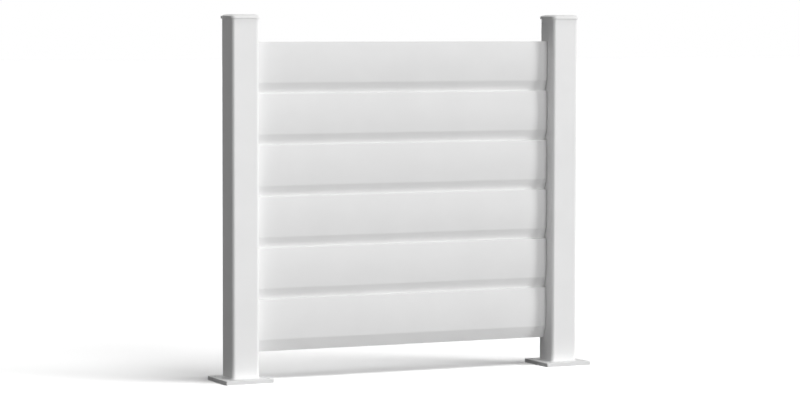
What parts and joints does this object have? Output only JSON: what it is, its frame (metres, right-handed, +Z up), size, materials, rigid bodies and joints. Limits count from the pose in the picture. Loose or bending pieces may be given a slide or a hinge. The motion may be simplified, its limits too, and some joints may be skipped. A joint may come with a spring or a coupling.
{
  "type": "aluminium windbreak fence bay",
  "caption": "White aluminium windbreak fence bay: square posts on base plates, caps, and a closed panel of stacked hollow boards with bevelled lower faces.",
  "frame": {"origin": "centre of the left base plate's underside, on the ground", "axes": "+X along the fence from the left post to the right post, +Y towards the lee side, +Z up; the bevelled weather face looks to -Y"},
  "size_m": [1.194, 0.148, 1.0665],
  "materials": {
    "coated_aluminium": "white satin powder coat on extruded posts, plates and welds",
    "coated_board": "white satin powder coat on hollow extruded boards",
    "cap_plastic": "white moulded plastic, satin",
    "mill_aluminium": "bare mill finish"
  },
  "bodies": {
    "root": {"left_base_plate": "coated_aluminium", "right_base_plate": "coated_aluminium", "left_post": "coated_aluminium", "right_post": "coated_aluminium", "left_foot_weld": "coated_aluminium", "right_foot_weld": "coated_aluminium", "left_cap": "cap_plastic", "right_cap": "cap_plastic", "board_1": "coated_board", "board_2": "coated_board", "board_3": "coated_board", "board_4": "coated_board", "board_5": "coated_board", "board_6": "coated_board", "left_shoe_1": "mill_aluminium", "left_shoe_2": "mill_aluminium", "left_shoe_3": "mill_aluminium", "left_shoe_4": "mill_aluminium", "left_shoe_5": "mill_aluminium", "left_shoe_6": "mill_aluminium", "right_shoe_1": "mill_aluminium", "right_shoe_2": "mill_aluminium", "right_shoe_3": "mill_aluminium", "right_shoe_4": "mill_aluminium", "right_shoe_5": "mill_aluminium", "right_shoe_6": "mill_aluminium"}
  },
  "joints": []
}
